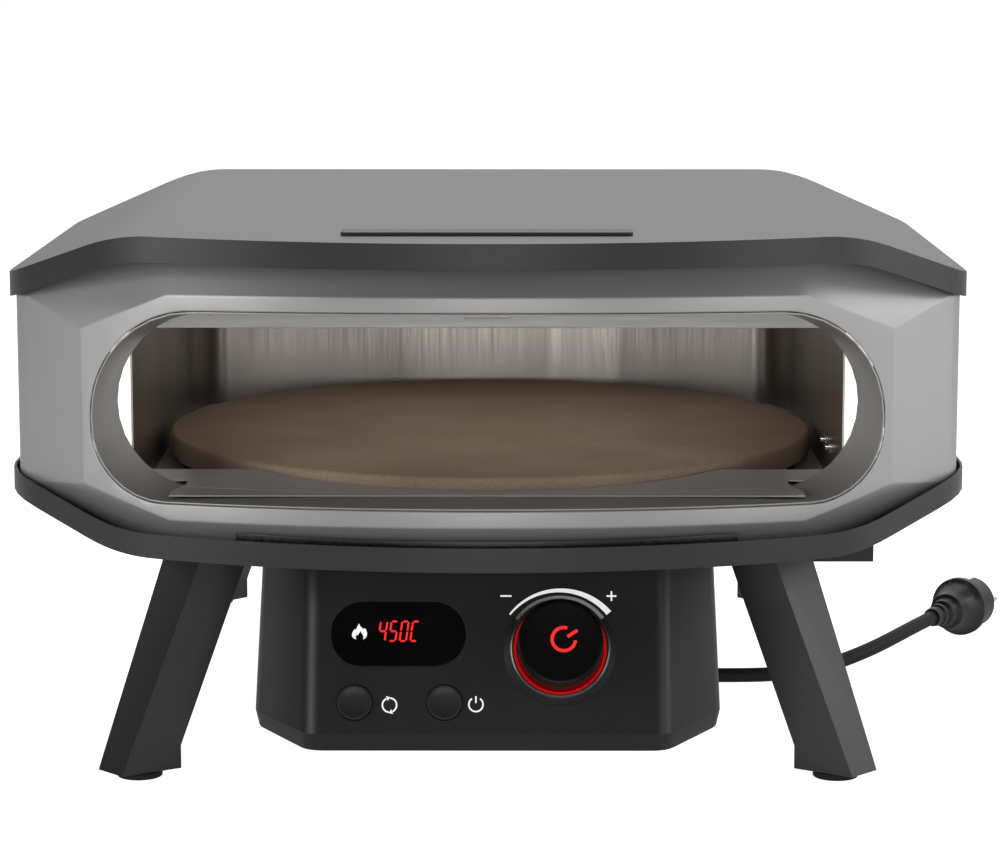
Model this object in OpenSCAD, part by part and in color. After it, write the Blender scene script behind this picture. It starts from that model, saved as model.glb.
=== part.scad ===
// Electric pizza oven with an open front, a turning stone and a control box under the base.
// Millimetres. X to the right, Y to the back, Z up, the floor at Z = 0.

/* [Roof and base] */
// Width over the roof and the base
roof_w = 600; // [592:1:606]
// Height of the flat middle of the roof
roof_top_z = 339; // [335:1:345]
// Height of the underside of the base
base_low_z = 145; // [142:1:146]
// Half width of the roof's flat middle, out to the fold lines
fold_x = 221; // [216:1:226]
// Fall of the roof's bent sides from the fold to the edge
side_drop = 32; // [30:0.5:34]
// Half width of the base's flat middle
base_fold_x = 225; // [220:1:228]
// Rise of the base's bent sides from the fold to the edge
base_rise = 25; // [24:0.5:28]
// Height of the roof's skirt
roof_skirt = 15.7; // [14:0.1:17]
// Height of the base tray's skirt
base_skirt = 14.8; // [13:0.1:15]
// Front edge of the roof at the middle, ahead of the stone's axis
front_reach = 296; // [292:1:298]
// Back edge of the roof, behind the stone's axis
back_reach = 271; // [268:1:274]
// Thickness of the sheet metal
sheet = 1.5; // [1.2:0.1:1.8]

/* [Front opening] */
// Half width of the opening
mouth_half_w = 242.5; // [238:0.5:244]
// Half of the opening's height
mouth_half_h = 58.4; // [56:0.1:60]
// Radius of the opening's upper corners
mouth_high_r = 66; // [62:0.5:68]
// Radius of the opening's lower corners
mouth_low_r = 47; // [44:0.5:50]
// Height of the opening's middle
mouth_z = 238.5; // [236:0.5:240]

/* [Stone] */
// Radius of the stone
stone_r = 215; // [212:1:216]
// Height of the stone's top
stone_top_z = 188; // [187:0.5:188.5]
// Thickness of the stone
stone_t = 15; // [14:0.5:15]

/* [Control box] */
// Lean of the control panel
panel_tilt = 22; // [20:1:24]
// Front of the control box at its lower bevel line
panel_y = -258; // [-260:1:-256]
// Height of the lower bevel line
panel_z = 38; // [36:1:40]
// Back of the control box
box_back_y = -115; // [-120:1:-112]

/* [Knob and buttons] */
// Radius of the knob
knob_r = 25.8; // [24:0.1:26]
// Height of the knob's face above the panel
knob_h = 36; // [32:1:38]
// Radius of the round buttons
button_r = 10.8; // [10:0.1:10.9]

/* [Mains lead] */
// Diameter of the cord
cord_d = 10; // [9:0.5:10]
// Radius of the plug's flange
plug_flange_r = 21.3; // [20:0.1:21.4]

/* [Hidden] */

$fn = 48;
eps = 0.01;
silver = [0.66, 0.66, 0.67];
charcoal = [0.22, 0.22, 0.23];
steel = [0.6, 0.58, 0.55];
black = [0.1, 0.1, 0.1];

// The object's box is centred on Y = 0, which puts the stone's axis a little to the front.
axis_y = -16;
half_w = roof_w / 2;
slope = side_drop / (half_w - fold_x);
base_slope = base_rise / (half_w - base_fold_x);
inside_top_z = roof_top_z - sheet;
inside_low_z = base_low_z + sheet;

// Plan of the roof: a bowed front, 45 degree corners, straight sides and back.
front_r = 483;
front_cy = front_r - front_reach;
front_corner = 463;
back_corner = 491;
corner_ease = 26;
side_ease = 28;
rear_ease = 12;

function corner_x(d) =
  let (k = front_corner - d * sqrt(2) + front_cy, r = front_r - d)
  (k - sqrt(2 * r * r - k * k)) / 2;

function bezier(a, b, c, n) =
  [for (i = [0 : n]) let (t = i / n) (1 - t) * (1 - t) * a + 2 * t * (1 - t) * b + t * t * c];

function bow(r, cy, x) = cy - sqrt(r * r - x * x);

// Rounded corner at c, reached along u and left along v, with straight run e given up on each.
function eased(c, u, v, e, n) = bezier(c - e * u, c, c + e * v, n);

function half_plan(d, ease) =
  let (
    r = front_r - d,
    x1 = corner_x(d),
    x0 = x1 - corner_ease,
    corner = [x1, bow(r, front_cy, x1)],
    facet = corner + corner_ease * [0.7, 0.7],
    side = half_w - d,
    back = back_reach - d,
    rear = back_corner - d * sqrt(2),
    q = sqrt(0.5)
  )
  concat(
    [for (i = [0 : 7]) let (x = x0 * i / 8) [x, bow(r, front_cy, x)]],
    bezier([x0, bow(r, front_cy, x0)], corner, facet, 5),
    eased([side, side - front_corner + d * sqrt(2)], [q, q], [0, 1], ease, 4),
    eased([side, rear - side], [0, 1], [-q, q], rear_ease, 2),
    eased([rear - back, back], [-q, q], [-1, 0], rear_ease, 2));

function mirrored(p) = concat(p, [for (i = [len(p) - 1 : -1 : 1]) [-p[i][0], p[i][1]]]);

function plan(d, ease = side_ease) = mirrored(half_plan(d, ease));

module at_axis() {
  translate([0, axis_y, 0])
    children();
}

// Extrudes a profile drawn in X and Z along Y.
module along_y(y0, y1) {
  translate([0, y1, 0])
    rotate([90, 0, 0])
      linear_extrude(y1 - y0)
        children();
}

// Line from the right end to the left at height z, turned at two rounded folds: down for the roof,
// up for the base.
fold_ease = 21;

function folded_line(z, rise) =
  let (
    end = half_w + 10,
    fold = rise > 0 ? base_fold_x : fold_x,
    half = concat([[end, z + rise * (end - fold)]],
      bezier([fold + fold_ease, z + rise * fold_ease], [fold, z], [fold - fold_ease, z], 6))
  )
  concat(half, [for (i = [len(half) - 1 : -1 : 0]) [-half[i][0], half[i][1]]]);

module folded_profile(low, high, low_slope, high_slope) {
  low_line = folded_line(low, low_slope);
  polygon(concat(folded_line(high, high_slope), [for (i = [len(low_line) - 1 : -1 : 0]) low_line[i]]));
}

module folded_block(d, low, high, low_slope, high_slope, ease = side_ease) {
  intersection() {
    translate([0, 0, base_low_z - 40])
      linear_extrude(roof_top_z - base_low_z + 80)
        polygon(plan(d, ease));
    along_y(-400, 400)
      folded_profile(low, high, low_slope, high_slope);
  }
}

// Tube or solid through a list of rings, each a list of points in order.
module loft(rings, closed = false) {
  n = len(rings[0]);
  m = len(rings);
  sides = [for (j = [0 : (closed ? m : m - 1) - 1]) for (i = [0 : n - 1])
    let (a = j * n, b = ((j + 1) % m) * n, k = (i + 1) % n)
    each [[a + i, b + i, b + k], [a + i, b + k, a + k]]];
  caps = closed ? [] : [[for (i = [0 : n - 1]) i], [for (i = [n - 1 : -1 : 0]) (m - 1) * n + i]];
  polyhedron(points = [for (ring = rings) for (p = ring) p], faces = concat(sides, caps));
}

module rod(a, b, r) {
  v = b - a;
  length = norm(v);
  translate(a)
    rotate([0, acos(v[2] / length), atan2(v[1], v[0])])
      cylinder(h = length, r = r);
}

/* ---- Roof ---- */

module roof_shell() {
  color(charcoal)
    at_axis()
      difference() {
        folded_block(0, roof_top_z - roof_skirt, roof_top_z, -slope, -slope);
        folded_block(sheet, roof_top_z - roof_skirt - 20, inside_top_z, -slope, -slope);
      }
}

// A blank raised bar near the front of the roof.
badge_w = 174;
badge_d = 22;
badge_y = -234.5;

module roof_badge() {
  color(black)
    at_axis()
      translate([0, badge_y, roof_top_z])
        linear_extrude(2) {
          square([badge_w - 8, badge_d], center = true);
          square([badge_w, badge_d - 8], center = true);
          for (x = [-1, 1], y = [-1, 1])
            translate([x * (badge_w / 2 - 4), y * (badge_d / 2 - 4)])
              circle(r = 4);
        }
}

module roof_insulation() {
  color("white")
    at_axis()
      translate([-195, fascia_back_y + 2, chamber_top_z + wall_t])
        cube([390, 340, inside_top_z - chamber_top_z - wall_t]);
}

/* ---- Front fascia ---- */

body_inset = 5.5;
side_x = half_w - body_inset;
ring_r = 418;
ring_cy = ring_r - 285;
ring_half_w = 248;
ring_low_z = 170;
ring_high_z = 306;
ring_side_low_z = 190;
ring_side_high_z = 285;
ring_top_half_w = 192;
facet_y = side_x - front_corner + body_inset * sqrt(2);
facet_low_z = 177;
facet_high_z = 294;
facet_ease = 12;
fascia_back_y = -147;

function ring_plan(d) = concat(
  [for (i = [-12 : 12]) let (x = (ring_half_w - d) * i / 12) [x, bow(ring_r - d, ring_cy, x)]],
  [[ring_half_w - d, fascia_back_y], [-ring_half_w + d, fascia_back_y]]);

// The opening and the band round it run slightly down towards the back.
mouth_lean = 0.085;

module leaning() {
  translate([0, -285, mouth_z])
    rotate([-atan(mouth_lean), 0, 0])
      translate([0, 285, -mouth_z])
        children();
}

module ring_block(d) {
  intersection() {
    translate([0, 0, base_low_z])
      linear_extrude(roof_top_z - base_low_z)
        polygon(ring_plan(d));
    leaning()
      along_y(-400, 0)
        polygon([
          [-ring_half_w + d, ring_side_low_z + d / 2], [-ring_top_half_w, ring_low_z + d],
          [ring_top_half_w, ring_low_z + d], [ring_half_w - d, ring_side_low_z + d / 2],
          [ring_half_w - d, ring_side_high_z - d / 2], [ring_top_half_w, ring_high_z - d],
          [-ring_top_half_w, ring_high_z - d], [-ring_half_w + d, ring_side_high_z - d / 2]]);
  }
}

// The closed form of the front, made smaller all round by d for its hollow.
module fascia_form(d) {
  back_y = d > 0 ? fascia_back_y + 1 : fascia_back_y;
  gap = 0.2 + d;
  edge = side_x - d;
  low = inside_low_z + gap;
  high = inside_top_z - gap;
  flat_x = fold_x - fold_ease;
  corner = [edge, facet_y + d];
  run = corner - [ring_half_w - d, bow(ring_r - d, ring_cy, ring_half_w - d)];
  hull() {
    ring_block(d);
    translate([0, 0, facet_low_z])
      linear_extrude(facet_high_z - facet_low_z)
        polygon(mirrored(concat([[0, corner[1]]], eased(corner, run / norm(run), [0, 1], facet_ease, 4),
          [[edge, back_y]])));
    along_y(back_y - 1, back_y)
      intersection() {
        folded_profile(low, high, base_slope, -slope);
        translate([-edge, 0])
          square([2 * edge, 400]);
      }
    for (layer = [[low, 22 + d], [high - 1, 33 + d]])
      intersection() {
        translate([0, 0, layer[0]])
          linear_extrude(1)
            polygon(plan(layer[1]));
        translate([-flat_x, -400, 0])
          cube([2 * flat_x, 400 + back_y, 400]);
      }
  }
}

module stadium(half_len, r) {
  square([2 * (half_len - r), 2 * r], center = true);
  for (s = [-1, 1])
    translate([s * (half_len - r), 0])
      circle(r = r, $fn = 96);
}

// One end of a long opening, from its bottom round to its top for s = 1.
function end_points(s, half_len, half_h, high_r, low_r, n) =
  [for (i = [0 : n])
    let (
      a = -90 + 180 * i / n,
      low = s * a < 0,
      r = low ? low_r : high_r)
    [s * (half_len - r + r * cos(a)), s * r * sin(a) + (low ? low_r - half_h : half_h - high_r)]];

module front_fascia() {
  color(silver)
    at_axis()
      difference() {
        fascia_form(0);
        fascia_form(2);
        leaning()
          along_y(-330, fascia_back_y - 5)
            translate([0, mouth_z])
              polygon([for (s = [1, -1]) each end_points(s, mouth_half_w, mouth_half_h, mouth_high_r, mouth_low_r, 48)]);
      }
}

// Funnel from the opening's edge back to the baking chamber.
liner_back_y = -185;
liner_back_half_w = 228;
liner_back_r = 55;
liner_back_z = 231;
liner_t = 1.2;

function rim_points(half_len, half_h, high_r, low_r, z) =
  [for (s = [1, -1])
    let (run = half_len - (s > 0 ? high_r : low_r))
    each concat(
      [for (p = end_points(s, half_len, half_h, high_r, low_r, 16)) p + [0, z]],
      [for (i = [11 : -1 : -11]) [s * run * i / 12, z + s * half_h]])];

function mouth_ring(d) =
  [for (p = rim_points(mouth_half_w - d, mouth_half_h - d, mouth_high_r - d, mouth_low_r - d, mouth_z))
    let (y = bow(ring_r - 0.3, ring_cy, p[0])) [p[0], y, p[1] - mouth_lean * (y + 285)]];

function throat_ring(d) =
  [for (p = rim_points(liner_back_half_w - d, liner_back_r - d, liner_back_r - d, liner_back_r - d, liner_back_z))
    [p[0], liner_back_y, p[1]]];

module mouth_liner() {
  color(steel)
    at_axis()
      difference() {
        loft([mouth_ring(0), mouth_ring(liner_t), throat_ring(0), throat_ring(-liner_t)], closed = true);
        translate([0, 0, hearth_low_z - 10])
          cylinder(h = 20, r = stone_r + 2.5, $fn = 120);
      }
}

// Thin polished strip in the gap under the fascia.
strip_half_w = 150;
strip_r = ring_r + 4;
strip_low_z = inside_low_z;
strip_high_z = 162.5;

function strip_plan(n) = concat(
  [for (i = [-n : n]) let (x = strip_half_w * i / n) [x, bow(strip_r, ring_cy, x)]],
  [for (i = [n : -1 : -n]) let (x = strip_half_w * i / n) [x, bow(strip_r - 1.5, ring_cy, x)]]);

module sill_strip() {
  color(steel)
    at_axis()
      translate([0, 0, strip_low_z])
        linear_extrude(strip_high_z - strip_low_z)
          polygon(strip_plan(12));
}

/* ---- Outer panels ---- */

module panel_band(x0, x1, y0, y1) {
  intersection() {
    difference() {
      folded_block(body_inset, inside_low_z + 0.2, inside_top_z - 0.2, base_slope, -slope, facet_ease);
      translate([0, 0, base_low_z])
        linear_extrude(roof_top_z)
          polygon(plan(body_inset + sheet, facet_ease));
    }
    translate([x0, y0, 0])
      cube([x1 - x0, y1 - y0, 400]);
  }
}

panel_split_x = 214;
vent_spans = [[-56, -15], [-8, 26]];
vent_low_z = [inside_low_z, 177];
vent_high_z = 298;

// Block across the rear right corner, from u to u + w along its flat and from one height to another.
module corner_block(depth, u, w, low, high) {
  translate([back_corner / 2, back_corner / 2, 0])
    rotate([0, 0, 45])
      translate([-depth, u, low])
        cube([depth + 10, w, high - low]);
}

// Upright slots through the rear right corner. The wide one runs down to the tray.
module corner_vents() {
  for (i = [0, 1])
    corner_block(26, vent_spans[i][0], vent_spans[i][1] - vent_spans[i][0], vent_low_z[i], vent_high_z);
}

module right_side() {
  difference() {
    panel_band(panel_split_x + 0.2, 320, fascia_back_y + 0.2, 300);
    corner_vents();
  }
}

module right_side_panel() {
  color(silver)
    at_axis()
      right_side();
}

module left_side_panel() {
  color(silver)
    at_axis()
      mirror([1, 0, 0])
        right_side();
}

rear_slot_w = 120;

module rear_panel() {
  color(silver)
    at_axis()
      difference() {
        panel_band(-panel_split_x, panel_split_x, 200, 300);
        for (i = [0 : 5])
          translate([-rear_slot_w / 2, 240, 250 + 9 * i])
            cube([rear_slot_w, 40, 4]);
      }
}

// Air intake: an opening in the tray's bent side that runs out through its rear corner.
module intake() {
  intersection() {
    translate([238, 30, base_low_z - 5])
      cube([44, 190, 60]);
    translate([0, 0, base_low_z - 10])
      linear_extrude(80)
        polygon(plan(16));
  }
  corner_block(34, vent_spans[0][0], vent_spans[0][1] - vent_spans[0][0], base_low_z - 5, base_low_z + 60);
}

module base_tray() {
  color(charcoal)
    at_axis()
      difference() {
        folded_block(0, base_low_z, base_low_z + base_skirt, base_slope, base_slope);
        folded_block(sheet, inside_low_z, base_low_z + base_skirt + 20, base_slope, base_slope);
        translate([0, 0, base_low_z - 1])
          cylinder(h = 5, r = bush_r);
        for (side = [0, 1])
          mirror([side, 0, 0])
            intake();
      }
}

module base_insulation() {
  color("white")
    at_axis()
      difference() {
        translate([-195, -145, inside_low_z])
          cube([390, 340, pan_low_z - inside_low_z]);
        translate([0, 0, inside_low_z - 1])
          cylinder(h = 20, r = 20);
      }
}

/* ---- Baking chamber ---- */

chamber_half_w = 219;
chamber_front_y = -184;
chamber_side_y = 188;
chamber_back_y = 228;
chamber_back_half_w = 206;
chamber_floor_z = 168;
chamber_top_z = 313;
wall_t = 1.2;
pan_half_w = 201;
pan_low_z = 156;

chamber_ease = 13;
function chamber_plan(d, front) =
  let (
    side = [chamber_half_w + d, chamber_side_y],
    rear = [chamber_back_half_w + d / 2, chamber_back_y + d],
    run = (rear - side) / norm(rear - side),
    half = concat([[side[0], front]], eased(side, [0, 1], run, chamber_ease, 4),
      eased(rear, run, [-1, 0], chamber_ease, 4)))
  concat(half, [for (i = [len(half) - 1 : -1 : 0]) [-half[i][0], half[i][1]]]);

heater_r = 3.25;
upper_heater_z = 298;
lower_heater_z = 161.6;
upper_run_x = [150, 60];
upper_bend_r = (upper_run_x[0] - upper_run_x[1]) / 2;
upper_front_y = -120;
upper_rear_y = 120;
lower_ring_r = [150, 92];
lower_lead_x = [26, 12];
heater_end_y = 244;

module chamber_walls() {
  color(steel)
    at_axis()
      difference() {
        translate([0, 0, chamber_floor_z])
          linear_extrude(chamber_top_z - chamber_floor_z)
            polygon(chamber_plan(wall_t, chamber_front_y));
        translate([0, 0, chamber_floor_z - 1])
          linear_extrude(chamber_top_z - chamber_floor_z + 2)
            polygon(chamber_plan(0, chamber_front_y - 5));
        for (s = [-1, 1])
          rod([s * upper_run_x[0], 220, upper_heater_z], [s * upper_run_x[0], 235, upper_heater_z], 3.6);
        for (y = probe_y)
          rod([chamber_half_w - 2, y, probe_z], [chamber_half_w + 4, y, probe_z], 2.1);
      }
}

module chamber_ceiling() {
  color(steel)
    at_axis()
      translate([0, 0, chamber_top_z])
        linear_extrude(wall_t)
          polygon(chamber_plan(wall_t, chamber_front_y));
}

pan_front_y = -160;
pan_back_y = 200;

module pan_block(d, low) {
  translate([-pan_half_w - d, pan_front_y - d, low])
    cube([2 * (pan_half_w + d), pan_back_y - pan_front_y + 2 * d, 40]);
}

module chamber_floor() {
  color(steel)
    at_axis()
      difference() {
        union() {
          translate([0, 0, chamber_floor_z - wall_t])
            linear_extrude(wall_t)
              polygon(chamber_plan(wall_t, chamber_front_y));
          intersection() {
            pan_block(wall_t, pan_low_z);
            translate([-300, -300, 0])
              cube([600, 600, chamber_floor_z]);
          }
        }
        pan_block(0, pan_low_z + wall_t);
        translate([0, 0, pan_low_z - 1])
          cylinder(h = 4, r = bush_r + 0.5);
        for (s = [-1, 1], x = lower_lead_x)
          rod([s * x, 190, lower_heater_z], [s * x, 210, lower_heater_z], 3.6);
      }
}

// Plate between the opening and the stone: flat in front, then a ramp behind a bowed fold.
hearth_low_z = 179.6;
hearth_rear_z = 184.5;
hearth_t = 1;
hearth_front_y = -228;
hearth_back_y = -163;
hearth_half_w = 193;
ramp_half_w = 185.5;
hearth_bow_r = 627;

function ramp_ring(x) =
  let (
    fold_y = bow(hearth_bow_r, hearth_bow_r - 226, x),
    y = abs(x) > ramp_half_w ? max(fold_y, chamber_front_y) : fold_y,
    z = hearth_low_z + (hearth_rear_z - hearth_low_z) * (y - fold_y) / (hearth_back_y - fold_y)
  )
  [[x, y, z - hearth_t], [x, y, z], [x, hearth_back_y, hearth_rear_z], [x, hearth_back_y, hearth_rear_z - hearth_t]];

ramp_x = concat([-chamber_half_w, -206, -ramp_half_w - 0.1], [for (i = [-9 : 9]) ramp_half_w * i / 9],
  [ramp_half_w + 0.1, 206, chamber_half_w]);

module hearth_plate() {
  color(steel)
    at_axis()
      difference() {
        union() {
          translate([0, 0, hearth_low_z - hearth_t - 0.1])
            linear_extrude(hearth_t)
              polygon(mirrored([
                [0, hearth_front_y], [hearth_half_w, hearth_front_y], [hearth_half_w, hearth_front_y + 12],
                [ramp_half_w, chamber_front_y], [0, chamber_front_y]]));
          loft([for (x = ramp_x) ramp_ring(-x)]);
        }
        translate([0, 0, hearth_low_z - 10])
          cylinder(h = 20, r = stone_r + 2.5, $fn = 120);
      }
}

baffle_low_z = 276;
baffle_slot = [28, 3.2];

module baffle_plate() {
  color(steel)
    at_axis()
      difference() {
        translate([-chamber_half_w, chamber_front_y + 0.5, baffle_low_z])
          cube([2 * chamber_half_w, wall_t, chamber_top_z - baffle_low_z]);
        translate([-baffle_slot[0] / 2, chamber_front_y - 1, 282.3])
          cube([baffle_slot[0], 5, baffle_slot[1]]);
      }
}

module u_bend(x, y, z, r, turn) {
  translate([x, y, z])
    rotate([0, 0, turn])
      rotate_extrude(angle = 180)
        translate([r, 0])
          circle(r = heater_r, $fn = 24);
}

module upper_heater() {
  outer = upper_run_x[0];
  inner = upper_run_x[1];
  color([0.3, 0.28, 0.27])
    at_axis() {
      for (s = [-1, 1]) {
        rod([s * outer, upper_front_y, upper_heater_z], [s * outer, heater_end_y, upper_heater_z], heater_r);
        rod([s * inner, upper_front_y, upper_heater_z], [s * inner, upper_rear_y, upper_heater_z], heater_r);
        u_bend(s * (outer + inner) / 2, upper_front_y, upper_heater_z, upper_bend_r, 180);
      }
      u_bend(0, upper_rear_y, upper_heater_z, inner, 0);
    }
}

module lower_heater() {
  color([0.3, 0.28, 0.27])
    at_axis()
      for (k = [0, 1]) {
        open_angle = asin(lower_lead_x[k] / lower_ring_r[k]);
        translate([0, 0, lower_heater_z])
          rotate([0, 0, 90 + open_angle])
            rotate_extrude(angle = 360 - 2 * open_angle)
              translate([lower_ring_r[k], 0])
                circle(r = heater_r, $fn = 24);
        for (s = [-1, 1]) {
          elbow_y = lower_ring_r[k] * cos(open_angle);
          translate([s * lower_lead_x[k], elbow_y, lower_heater_z])
            sphere(r = heater_r + 0.7);
          rod([s * lower_lead_x[k], elbow_y, lower_heater_z],
            [s * lower_lead_x[k], heater_end_y, lower_heater_z], heater_r);
        }
      }
}

bracket_y = [-60, 90];

module heater_brackets() {
  color(steel)
    at_axis() {
      for (y = bracket_y, x = [-upper_run_x[0], -upper_run_x[1], upper_run_x[1], upper_run_x[0]])
        difference() {
          translate([x - 7, y, upper_heater_z - 7])
            cube([14, wall_t, chamber_top_z - upper_heater_z + 7]);
          rod([x, y - 1, upper_heater_z], [x, y + 3, upper_heater_z], heater_r + 0.1);
        }
      for (r = lower_ring_r, a = [30, 150, 270])
        rotate([0, 0, a])
          translate([r, 0, pan_low_z + wall_t])
            cylinder(h = lower_heater_z - heater_r - pan_low_z - wall_t, r = 5);
    }
}

module bushing(x, y, z) {
  difference() {
    rod([x, y, z], [x, y + 10, z], 5);
    rod([x, y - 1, z], [x, y + 11, z], heater_r + 0.05);
  }
}

module heater_bushings() {
  color("white")
    at_axis()
      for (s = [-1, 1]) {
        bushing(s * upper_run_x[0], chamber_back_y + wall_t, upper_heater_z);
        for (x = lower_lead_x)
          bushing(s * x, pan_back_y + wall_t, lower_heater_z);
      }
}

probe_y = [-94, -126];
probe_z = 193;

module temperature_probe() {
  color([0.8, 0.8, 0.8])
    at_axis()
      for (y = probe_y) {
        rod([chamber_half_w - 5, y, probe_z], [chamber_half_w + 6, y, probe_z], 2);
        rod([chamber_half_w - 2.5, y, probe_z], [chamber_half_w, y, probe_z], 4);
      }
}

/* ---- Turning stone and its drive ---- */

stone_low_z = stone_top_z - stone_t;
shaft_r = 5;
bush_r = 9;
bush_top_z = 165;
gear_low_z = 121;
gear_t = 8;
bracket_top_z = 118;
gear_module = 1.5;
gear_teeth = 60;
pinion_teeth = 20;
pinion_y = -gear_module * (gear_teeth + pinion_teeth) / 2;

module stone() {
  color([0.42, 0.35, 0.27])
    at_axis()
      rotate_extrude($fn = 120)
        polygon([
          [0, stone_low_z], [stone_r - 2, stone_low_z], [stone_r, stone_low_z + 2],
          [stone_r, stone_top_z - 3], [stone_r - 2, stone_top_z], [0, stone_top_z]]);
}

module stone_carrier() {
  color(steel)
    at_axis()
      difference() {
        union() {
          translate([0, 0, stone_low_z - 3.6])
            cylinder(h = 3.6, r = 32);
          for (a = [45 : 90 : 315])
            rotate([0, 0, a])
              translate([-10, 20, stone_low_z - 2.4])
                cube([20, 150, 2.4]);
        }
        translate([0, 0, stone_low_z - 5])
          cylinder(h = 10, r = shaft_r);
      }
}

module drive_shaft() {
  color([0.7, 0.7, 0.7])
    at_axis() {
      translate([0, 0, 108])
        cylinder(h = stone_low_z - 108, r = shaft_r);
      translate([0, 0, bush_top_z + 0.3])
        cylinder(h = stone_low_z - 3.6 - bush_top_z - 0.3, r = 8.5);
    }
}

module shaft_bush() {
  color([0.72, 0.58, 0.3])
    at_axis()
      difference() {
        union() {
          translate([0, 0, 138])
            cylinder(h = bush_top_z - 138, r = bush_r);
          translate([0, 0, inside_low_z])
            cylinder(h = 2.5, r = 17);
        }
        translate([0, 0, 130])
          cylinder(h = 50, r = shaft_r + 0.05);
      }
}

function gear_outline(teeth, phase) =
  let (
    pitch = 360 / teeth,
    r = gear_module * teeth / 2,
    tooth = [[-0.3, -1.2], [-0.12, 0.9], [0.12, 0.9], [0.3, -1.2]]
  )
  [for (i = [0 : teeth - 1]) for (p = tooth)
    let (a = phase + pitch * (i + p[0]), q = r + gear_module * p[1]) q * [cos(a), sin(a)]];

module drive_gear() {
  color([0.85, 0.83, 0.76])
    at_axis()
      translate([0, 0, gear_low_z])
        difference() {
          linear_extrude(gear_t)
            polygon(gear_outline(gear_teeth, -90));
          translate([0, 0, -1])
            cylinder(h = gear_t + 2, r = shaft_r);
        }
}

// Pinion on the motor's output shaft, half a tooth out of step where the gears meet.
module pinion() {
  color([0.7, 0.7, 0.7])
    at_axis()
      translate([0, pinion_y, 0]) {
        translate([0, 0, gear_low_z - 0.5])
          linear_extrude(gear_t + 1)
            polygon(gear_outline(pinion_teeth, 90 + 180 / pinion_teeth));
        translate([0, 0, 104])
          cylinder(h = gear_low_z - 104, r = 3);
      }
}

motor_r = 30;
motor_low_z = 94;

module gear_motor() {
  color([0.75, 0.75, 0.76])
    at_axis()
      translate([0, pinion_y, 0])
        difference() {
          union() {
            translate([0, 0, motor_low_z])
              cylinder(h = bracket_top_z - 2 - motor_low_z, r = motor_r);
            translate([-38, -7, bracket_top_z - 3.5])
              cube([76, 14, 1.5]);
          }
          translate([0, 0, 102])
            cylinder(h = 20, r = 3.05);
        }
}

bracket_half = [62, 98];
post_r = 4;

module motor_bracket() {
  color([0.68, 0.68, 0.7])
    at_axis()
      difference() {
        union() {
          translate([-bracket_half[0], -bracket_half[1], bracket_top_z - 2])
            cube([2 * bracket_half[0], bracket_half[1] + 56, 2]);
          for (x = [-56, 56], y = [-90, 48])
            translate([x, y, bracket_top_z - 2])
              cylinder(h = base_low_z - bracket_top_z + 2, r = post_r);
        }
        translate([0, 0, bracket_top_z - 5])
          cylinder(h = 10, r = shaft_r + 0.05);
        translate([0, pinion_y, bracket_top_z - 5])
          cylinder(h = 10, r = 6);
      }
}

cover_half_w = 75;
cover_front_y = -105;
cover_back_y = 65;
cover_low_z = 88;

module drive_cover() {
  color(charcoal)
    at_axis()
      difference() {
        translate([-cover_half_w, cover_front_y, cover_low_z])
          cube([2 * cover_half_w, cover_back_y - cover_front_y, base_low_z - cover_low_z]);
        translate([-cover_half_w + wall_t, cover_front_y + wall_t, cover_low_z + wall_t])
          cube([2 * (cover_half_w - wall_t), cover_back_y - cover_front_y - 2 * wall_t, 80]);
        rod([0, cover_front_y - 2, conduit_z], [0, cover_front_y + 4, conduit_z], 8);
        for (i = [-3 : 3])
          translate([12 * i - 2, 20, cover_low_z - 1])
            cube([4, 34, 4]);
      }
}

/* ---- Control box ---- */

box_wall = 2.5;
box_low_z = 27;
conduit_z = 125;
gland_x = 90;
gland_z = 45;

// Plan of the box with its front at y: round corners between the front, the facets and the sides.
function box_half_plan(y, side, d) =
  let (a = [108.5 - 0.6 * d, y + d], b = [side - d, y + 62 + 0.4 * d])
  concat(
    [[0, y + d]],
    bezier(a - [9, 0], a, a + [4.6, 8], 4),
    bezier(b - [3.4, 6], b, b + [0, 7], 3),
    [[side - d, box_back_y]]);

module box_slice(z, y, side, d) {
  translate([0, 0, z])
    linear_extrude(0.1)
      polygon(mirrored(box_half_plan(y, side, d)));
}

module box_form(d) {
  top_z = d > 0 ? base_low_z + 1 : base_low_z - 0.1;
  lift = (top_z - panel_z) * tan(panel_tilt);
  hull() {
    box_slice(box_low_z + d, panel_y + 4, 143, d);
    box_slice(panel_z + d / 3, panel_y + d / 8, 145, d);
    box_slice(top_z, panel_y + lift, 141.5, d);
  }
}

// Drawing plane on the panel: X along it, Y up it, Z out of it.
module on_panel() {
  translate([0, panel_y, panel_z])
    rotate([90 - panel_tilt, 0, 0])
      children();
}

display_at = [-54, 61.4];
display_half = [41.2, 20.1];
knob_at = [44.2, 51.1];
button_at = [[-80.2, 19.5], [-25.7, 19.5]];
// Bosses behind the panel that carry the circuit board.
boss_at = [[-96.5, 14], [-96.5, 88], [88, 14], [88, 88]];
board_depth = 21;
board_t = 1.6;

module control_housing() {
  color(black)
    at_axis() {
      on_panel()
        for (at = boss_at)
          translate([at[0], at[1], -board_depth + board_t])
            cylinder(h = board_depth - board_t - 2, r = 3.5);
      difference() {
        box_form(0);
        difference() {
          box_form(box_wall);
          translate([-200, box_back_y - 3, 0])
            cube([400, 50, 35]);
        }
        translate([-141, box_back_y - 10, box_low_z + box_wall])
          cube([282, 20, 200]);
        on_panel() {
          translate([display_at[0], display_at[1], -10])
            linear_extrude(20)
              stadium(display_half[0], display_half[1]);
          for (at = button_at)
            translate([at[0], at[1], -10])
              cylinder(h = 20, r = button_r + 0.3);
          translate([knob_at[0], knob_at[1], -10])
            cylinder(h = 20, r = 28.4);
        }
        rod([135, -140, conduit_z + 10], [150, -140, conduit_z + 10], 5);
      }
    }
}

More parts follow.
